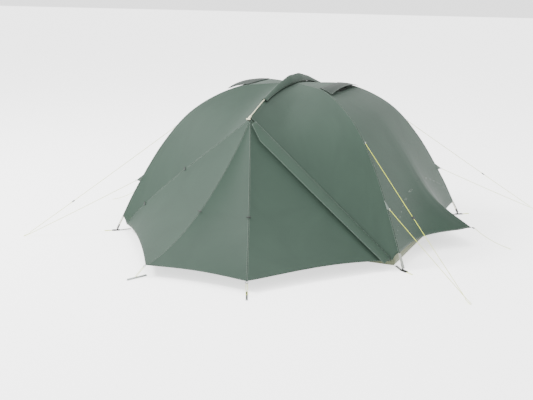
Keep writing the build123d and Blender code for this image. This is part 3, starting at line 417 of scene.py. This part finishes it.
def side_panel(half, name, side):
    """Front face between a leg and a vestibule seam."""
    lean = Vector((side * 0.25, -1, 0.75)).normalized()

    def point(v, u):
        t = 1 - v
        a, b = leg(side, -1, t), seam(name, 1 - t)
        if name == "zip":
            b = lerp(b, a, ZIP_ROOM / max((a - b).length, 0.05))
        mix = max(0.0, (t - 5 / 6) * 6)
        crown = lerp(lean * CREASE_RISE * t**3, UP * CREASE_RISE, mix)
        hollow = SIDE_DISH * 4 * u * (1 - u) * max(0.0, 1 - t * 5) ** 2
        return turned(lerp(a, b, u) + crown * 4 * u * (1 - u) + UP * hollow, half)

    label = "plain" if name == "plain" else "zip"
    made = cloth_mesh(f"{half}_{label}_side_cloth", point, ROWS, COLUMNS)
    finish_cloth(made, turned(lean, half))
    node_name = f"{half}_{label}_side_panel"
    declare_cloth(made, pattern(point), "tent", [node_name])


def vestibule_cloth(half, left, right, label, body):
    """Vestibule panel between two seams, with its hem hollow between the pegged points."""
    facing = (seam(right, 1) - seam(left, 1)).cross(APEX - seam(left, 1)).normalized()
    facing = facing if facing.y < 0 else facing * -1

    def point(v, u):
        s = v * (1 - HEM_HOLLOW * 4 * u * (1 - u) / SEAM_LENGTH)
        a, b = seam(left, s), seam(right, s)
        if right == "zip":
            b = lerp(b, a, min(1, ZIP_ROOM / max((a - b).length, 0.03)))
        return turned(lerp(a, b, u) - facing * VESTIBULE_DISH * 4 * u * (1 - u) * sin(pi * v), half)

    def hem(v, u):
        return (1 - v) * SEAM_LENGTH

    made = cloth_mesh(f"{half}_{label}_cloth", point, ROWS + 20, COLUMNS, far=hem)
    finish_cloth(made, turned(facing, half))
    hollow = 2 / 3 * HEM_HOLLOW * (seam(right, 1) - seam(left, 1)).length
    cut = pattern(lambda v, u: lerp(seam(left, v), seam(right, v), u), off=hollow)
    declare_cloth(made, cut, body, [f"{half}_{label}"])


def end_arch(v, u):
    """Distance from the arched seam of an end panel, or from its hem."""
    t = 1 - v
    arch = 0.02 + 0.19 * (4 * u * (1 - u)) ** 0.5
    return min(abs(t - arch) * 1.6, t * 1.6)


def end_panel(side):
    """End face between the front and rear legs, drawn out at the middle of its hem."""
    pull = END_TIE.x - LEG[0].x

    def point(v, u):
        t = 1 - v
        a, b = leg(side, -1, t), leg(side, 1, t)
        peak = 1 - abs(2 * u - 1)
        power = 4.0 - 0.6 * min(6 * t, 4)
        softened = peak - 0.06 * exp(-((1 - peak) / 0.08) ** 2)
        reach = pull * exp(-9.5 * t) * max(softened, 0.0) ** power / 0.94**power
        reach += 0.028 * 4 * u * (1 - u) * sin(pi * min(1.0, 1.4 * t)) ** 0.7 * (1 - t)
        tilt = Vector((side, 0, 0.05 + 0.9 * min(3 * t, 1.6)))
        return lerp(a, b, u) + tilt.normalized() * reach

    name = f"{'right' if side > 0 else 'left'}_end"
    made = cloth_mesh(f"{name}_cloth", point, ROWS + 10, COLUMNS + 16, far=end_arch)
    cut_vent(made, side)
    finish_cloth(made, Vector((side, 0, 0.4)))
    cut = pattern(point, seams=(0.0, 0.5, 1.0))
    declare_cloth(made, cut, "tent", [f"{name}_panel"])


def cut_vent(made, side):
    """Open the vent under the hood."""
    shape = bmesh.new()
    shape.from_mesh(made.data)
    inside = []
    for face in shape.faces:
        middle = face.calc_center_median()
        if VENT_START < side * middle.x < VENT_END and abs(middle.y) < VENT_HALF:
            inside.append(face)
    bmesh.ops.delete(shape, geom=inside, context="FACES")
    shape.to_mesh(made.data)
    shape.free()


def roof(x):
    """Height of the roof over a place along X."""
    best = min((abs(glide(LEG, t / 300).x - x), glide(LEG, t / 300).z) for t in range(150, 301))
    return best[1]


def vent_hood(side):
    """Arched hood with a stiff brim over the vent."""
    def point(v, u):
        x = HOOD_START + HOOD_DEPTH * v
        half_width = x * HOOD_SPREAD - 0.006
        z = roof(x) + 0.0035 + 0.006 * v + HOOD_RISE * v**0.8 * (4 * u * (1 - u)) ** 0.75
        return Vector((side * x, half_width * (2 * u - 1), z))

    def brim(v, u):
        return (1 - v) * HOOD_DEPTH

    name = f"{'right' if side > 0 else 'left'}_vent_hood"
    made = cloth_mesh(f"{name}_cloth", point, 14, COLUMNS, far=brim, material=SHADED_HOOD_CLOTH)
    finish_cloth(made, UP, HOOD_THICK)
    declare_cloth(made, pattern(point, seams=(0.0, 0.5, 1.0)), "tent", [name])


def storm_flap(half):
    """Flap sewn beside the zip line, its free edge standing over the door."""
    down = (CORNER - APEX).normalized()
    door_way = HEM_POINT - APEX
    door_way = (door_way - down * door_way.dot(down)).normalized()
    out = down.cross(door_way)
    out = out if out.y < 0 else out * -1

    def point(v, u):
        s = 0.03 + 0.955 * v
        base = seam("zip", s)
        panel = leg(1, -1, 1 - s) - base
        panel = (panel - down * panel.dot(down)).normalized()
        door = seam("right", s) - base
        door = (door - down * door.dot(down)).normalized()
        panel_out, door_out = down.cross(panel), down.cross(door)
        panel_out = panel_out if panel_out.y < 0 else panel_out * -1
        door_out = door_out if door_out.y < 0 else door_out * -1
        reach = FLAP_OVER * min(1.0, 0.4 + 6 * v)
        root = base + panel * FLAP_ROOT + panel_out * (0.0035 + 0.003 * (1 - v) ** 2)
        edge = base + door * reach + door_out * FLAP_STAND
        crown = (panel_out + door_out).normalized() * FLAP_CROWN * 4 * u * (1 - u)
        return turned(lerp(root, edge, u) + crown, half)

    made = cloth_mesh(f"{half}_storm_flap_cloth", point, ROWS, 14, material=LIT_FLAP_CLOTH)
    finish_cloth(made, turned(out, half), FLAP_THICK)
    declare_cloth(made, pattern(point), f"{half}_flap_body", [f"{half}_storm_flap"])


def ridge_height(y):
    """Height of the ridge pole's axis over the ground, straight from bend to bend and level in the middle."""
    rise = RIDGE_PEAK - RIDGE_END_Z
    bends = [(round(RIDGE_REACH * a, 3), round(RIDGE_END_Z + rise * b, 3)) for a, b in RIDGE_SHAPE]
    reach = abs(y)
    for (y0, z0), (y1, z1) in zip(bends, bends[1:]):
        if y1 <= reach <= y0:
            return z0 + (z1 - z0) * (y0 - reach) / (y0 - y1)
    return bends[-1][1]


def crease_height(y):
    """Height of the fly's crease below the ridge pole."""
    share = min(1.0, abs(y) / -APEX.y)
    return LEG[-1].z + (APEX.z - LEG[-1].z) * share + CREASE_RISE * 4 * share * (1 - share)


def ridge_sleeve():
    """Raised sleeve over the ridge pole, tapering to the fly on both sides."""
    def point(v, u):
        y = -SLEEVE_REACH + 2 * SLEEVE_REACH * v
        top = ridge_height(y) + SLEEVE_TOP
        gap = max(0.0, ridge_height(y) - crease_height(y))
        foot = min(crease_height(y) + 0.003, top - 0.012)
        wide = 0.014 + 0.34 * gap
        angle = pi * u
        x = -wide * cos(angle)
        x = x * (0.45 + 0.55 * abs(cos(angle)) ** 2)
        return Vector((x, y, foot + (top - foot) * sin(angle) ** 0.75))

    made = cloth_mesh("ridge_sleeve_cloth", point, ROWS, 20)
    finish_cloth(made, UP, SLEEVE_THICK)
    cut = pattern(point, seams=(0.0, 0.5, 1.0))
    declare_cloth(made, cut, "tent", ["ridge_sleeve"])


# --- inner tent -----------------------------------------------------------------------------------
def inner_leg(t):
    """A point of the inner tent's seam over one leg, from the rim (0) to the crossing (1)."""
    return glide([Vector(p) for p in INNER_LEG], t)


def leg_at_height(z):
    """Inner leg point at a height."""
    low, high = 0.0, 5 / 6
    for _ in range(24):
        middle = (low + high) / 2
        if inner_leg(middle).z < z:
            low = middle
        else:
            high = middle
    return inner_leg((low + high) / 2)


def door_half(z):
    """Half width of the inner door at a height: straight sides, then an arch."""
    rise = (z - DOOR_FOOT) / DOOR_HEIGHT
    if rise < DOOR_SIDE:
        return DOOR_HALF
    share = min(1.0, (rise - DOOR_SIDE) / (1 - DOOR_SIDE))
    return DOOR_HALF * max(0.0, 1 - share**2) ** 0.5


def wall_patch(name, side, low, high, start, stop, rows, columns):
    """Part of an inner long wall between two heights and two functions of height across."""
    def point(v, u):
        z = high + (low - high) * v
        p = leg_at_height(z)
        return Vector((lerp(start(z), stop(z), u), side * p.y, z))

    return cloth_mesh(name, point, rows, columns, material=INNER)


def join(pieces, name):
    """Join cloth grids that share edges into one mesh."""
    for other in bpy.context.selected_objects:
        other.select_set(False)
    for piece in pieces:
        piece.select_set(True)
    bpy.context.view_layer.objects.active = pieces[0]
    bpy.ops.object.join()
    bpy.ops.object.mode_set(mode="EDIT")
    bpy.ops.mesh.select_all(action="SELECT")
    bpy.ops.mesh.remove_doubles(threshold=0.0003)
    bpy.ops.mesh.normals_make_consistent(inside=False)
    bpy.ops.object.mode_set(mode="OBJECT")
    pieces[0].name = name
    return pieces[0]


def inner_long_wall(half, side):
    """Inner wall with its arched door, the door as its own piece."""
    def edge(z):
        return leg_at_height(z).x

    def far_edge(z):
        return -edge(z)

    def door_left(z):
        return -door_half(z)

    rim, door_top = INNER_LEG[0][2], DOOR_FOOT + DOOR_HEIGHT
    patches = [
        wall_patch("below", side, rim, DOOR_FOOT - 0.0005, far_edge, edge, 4, 30),
        wall_patch("left", side, DOOR_FOOT - 0.0005, door_top, far_edge, door_left, 34, 14),
        wall_patch("right", side, DOOR_FOOT - 0.0005, door_top, door_half, edge, 34, 14),
        wall_patch("above", side, door_top, INNER_TOP, far_edge, edge, 16, 30),
    ]
    wall = join(patches, f"inner_{half}_wall_cloth")
    finish_cloth(wall, Vector((0, side, 0.4)))
    slant = (leg_at_height(door_top) - leg_at_height(DOOR_FOOT)).yz.length
    door_area = DOOR_HALF * slant * (2 * DOOR_SIDE + pi / 2 * (1 - DOOR_SIDE))

    def edges(v, u):
        p = leg_at_height(lerp(INNER_TOP, rim, v))
        return Vector((p.x * (2 * u - 1), side * p.y, p.z))

    declare_cloth(wall, pattern(edges, off=door_area), "tent", [f"inner_{half}_wall"])
    door = wall_patch(f"inner_{half}_door_cloth", side, DOOR_FOOT + DOOR_ROOM, door_top - DOOR_ROOM,
                      lambda z: -door_half(z) + DOOR_ROOM, lambda z: door_half(z) - DOOR_ROOM, 34, 24)
    finish_cloth(door, Vector((0, side, 0.4)))
    cut = ((2 * DOOR_HALF, slant), door_area)
    declare_cloth(door, cut, f"inner_{half}_door_body", [f"inner_{half}_door"])


def inner_short_wall(side):
    """Inner wall at the head or the foot."""
    def point(v, u):
        p = inner_leg(1 - v)
        return Vector((side * p.x, p.y * (2 * u - 1), p.z))

    name = f"inner_{'right' if side > 0 else 'left'}_wall"
    made = cloth_mesh(f"{name}_cloth", point, ROWS, 24, material=INNER)
    finish_cloth(made, Vector((side, 0, 0.4)))
    declare_cloth(made, pattern(point), "tent", [name])


def tub():
    """Tub floor: a flat sheet turned up at its edges to the inner walls, from FLOOR_SHARE outwards."""
    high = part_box("groundsheet")[1]
    rim = INNER_LEG[0]

    def point(v, u):
        across, along = 2 * u - 1, 2 * v - 1
        reach = max(abs(across), abs(along))
        flat = min(1.0, reach / FLOOR_SHARE)
        lift = max(0.0, (reach - FLOOR_SHARE) / 0.1)
        half_x = high.x - 0.0015 + (rim[0] - high.x) * lift
        half_y = high.y - 0.0015 + (rim[1] - high.y) * lift
        scale = flat / max(reach, 1e-6)
        return Vector((across * scale * half_x, along * scale * half_y, 0.0004 + lift * (high.z - 0.001)))

    made = cloth_mesh("groundsheet_cloth", point, 60, 60, edges=(False, False), material=FLOOR_CLOTH)
    finish_cloth(made, UP)
    wall_x = (high.z**2 + (high.x - rim[0]) ** 2) ** 0.5  # the walls are one piece with the floor,
    wall_y = (high.z**2 + (high.y - rim[1]) ** 2) ** 0.5  # and the corner squares are cut away
    flat = (2 * (high.x + wall_x), 2 * (high.y + wall_y))
    cut = (flat, flat[0] * flat[1] - 4 * wall_x * wall_y)
    declare_cloth(made, cut, "tent", ["groundsheet"])


# --- lines ----------------------------------------------------------------------------------------
CORD = 0.0034  # drawn thicker than the solid line, which is 2.6 mm
# the upper and the lower line of a corner, from the ring to the ground
HIGH = [(0.7695, 0.5214, 0.7928), (1.0648, 0.7427, 0.5370), (1.3690, 0.9708, 0.2765)]
HIGH += [(1.6643, 1.1922, 0.0267)]
LOW = [(1.0182, 0.7062, 0.3890), (1.2305, 0.8659, 0.2644), (1.4492, 1.0304, 0.1391)]
LOW += [(1.6615, 1.1900, 0.0205)]
SWAY_HIGH = [0.0, 0.0017, 0.0033, 0.0050]  # the two lines of a corner part by this much, to either side
END_LINE = [(1.4527, 0.0, 0.1255), (1.5047, -0.0015, 0.088), (1.5567, 0.0015, 0.060)]
END_LINE += [(1.6087, -0.0015, 0.036), (1.6607, 0.0015, 0.017), (1.7087, 0.0015, 0.005), (1.723, 0.0, 0.0015)]


def line_curve(name, points):
    """A braided line as a smooth curve with a round section."""
    data = bpy.data.curves.new(name, "CURVE")
    data.dimensions = "3D"
    data.bevel_depth = CORD / 2
    data.bevel_resolution = 3
    data.resolution_u = 8
    spline = data.splines.new("NURBS")
    spline.points.add(len(points) - 1)
    for knot, p in zip(spline.points, points):
        knot.co = (*p, 1)
    spline.order_u = 3
    spline.use_endpoint_u = True
    data.materials.append(LINE)
    made = bpy.data.objects.new(name, data)
    bpy.context.collection.objects.link(made)
    return made


def guylines():
    """Two lines from each corner."""
    for end, side_y in (("front", -1), ("rear", 1)):
        for hand, side_x in (("left", -1), ("right", 1)):
            corner = f"{end}_{hand}"
            for label, route, way in (("upper", HIGH, 1), ("lower", LOW, -1)):
                # the sideways step keeps its turn about Z, so it changes sign from corner to corner
                turn = way * side_x * side_y
                points = []
                for (x, y, z), sway in zip(route, SWAY_HIGH):
                    points.append((side_x * (x + turn * sway * 0.6), side_y * (y - turn * sway * 0.8), z))
                made = line_curve(f"{corner}_{label}_line", points)
                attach(made, "tent")
                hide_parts(f"{corner}_{label}_guyline")


def end_lines():
    """A slack line from each drawn-out end hem to its peg."""
    for hand, side in (("left", -1), ("right", 1)):
        points = [(side * x, y, z) for x, y, z in END_LINE]
        made = line_curve(f"{hand}_end_line_cord", points)
        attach(made, "tent")
        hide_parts(f"{hand}_end_line")


# --- carried-over nodes ---------------------------------------------------------------------------
FINISHES = {
    BLACK: ["door_toggles", "pole_foot_tips", "corner_plates", "apex_ladder_locks", "end_line_locks",
            "vestibule_rings", "lantern_ring", "front_zip_slider", "rear_zip_slider",
            "front_left_guy_slider", "front_right_guy_slider", "rear_left_guy_slider",
            "rear_right_guy_slider"],
    CREAM: ["ridge_end_fittings"],
    PALE: ["tie_rings"],
    POLE: ["main_pole_upper", "main_pole_lower", "ridge_pole", "pole_ferrules"],
    PEG: ["vestibule_pegs"],
    WEBBING: ["corner_webbing", "inner_hangers"],
    TAB: ["guy_tabs"],
    LINE: ["peg_loops"],
    COIL: ["front_zip_chain", "rear_zip_chain"],
}


def finish_nodes():
    """Give every carried-over node its material."""
    for material, names in FINISHES.items():
        for name in names:
            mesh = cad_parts[name].data
            mesh.materials.clear()
            mesh.materials.append(material)


# --- studio ---------------------------------------------------------------------------------------
EYE = Vector((2.738, -6.418, 2.000))
LOOK_AT = Vector((-0.191, -0.089, 0.182))
LENS, SENSOR = 61.0, 36.0
WHITE = (1, 1, 1, 1)
FLOOR_GLOW, SKY = 1.5, 2.2


def area_light(name, place, size, power):
    """A square soft light turned towards the middle of the tent."""
    lamp = bpy.data.lights.new(name, "AREA")
    lamp.size = size
    lamp.energy = power
    made = bpy.data.objects.new(name, lamp)
    made.location = place
    made.rotation_euler = (Vector((0, 0, 0.4)) - Vector(place)).to_track_quat("-Z", "Y").to_euler()
    bpy.context.collection.objects.link(made)


def studio():
    """Pale floor, soft light from the front left and above, and the camera."""
    for other in bpy.context.selected_objects:
        other.select_set(False)
    bpy.ops.mesh.primitive_plane_add(size=60, location=(0, 0, -0.0005))
    floor = bpy.context.active_object
    floor.name = "studio_floor"
    pale, _, surface = blank("studio_floor_paint", Roughness=0.9)
    surface.inputs["Base Color"].default_value = (0.92, 0.92, 0.92, 1)
    surface.inputs["Emission Color"].default_value = WHITE
    surface.inputs["Emission Strength"].default_value = FLOOR_GLOW
    floor.data.materials.append(pale)
    area_light("key", (-5.5, -3.0, 6.5), 2.2, 1100)
    area_light("top", (-0.5, 0.5, 6.5), 3.0, 200)
    world = bpy.data.worlds.new("studio")
    bpy.context.scene.world = world
    world.use_nodes = True
    world.node_tree.nodes["Background"].inputs[0].default_value = WHITE
    world.node_tree.nodes["Background"].inputs[1].default_value = SKY
    lens = bpy.data.cameras.new("camera")
    lens.lens = LENS
    lens.sensor_width = SENSOR
    camera = bpy.data.objects.new("camera", lens)
    camera.location = EYE
    camera.rotation_euler = (LOOK_AT - EYE).to_track_quat("-Z", "Y").to_euler()
    bpy.context.collection.objects.link(camera)
    bpy.context.scene.camera = camera


studio()
guylines()
end_lines()
for half in ("front", "rear"):
    side_panel(half, "plain", -1)
    side_panel(half, "zip", 1)
    vestibule_cloth(half, "plain", "left", "vestibule_side", "tent")
    vestibule_cloth(half, "left", "right", "vestibule_middle", "tent")
    vestibule_cloth(half, "right", "zip", "door", f"{half}_door_body")
    storm_flap(half)
for side in (-1, 1):
    end_panel(side)
    vent_hood(side)
    inner_short_wall(side)
ridge_sleeve()
inner_long_wall("front", -1)
inner_long_wall("rear", 1)
tub()
finish_nodes()
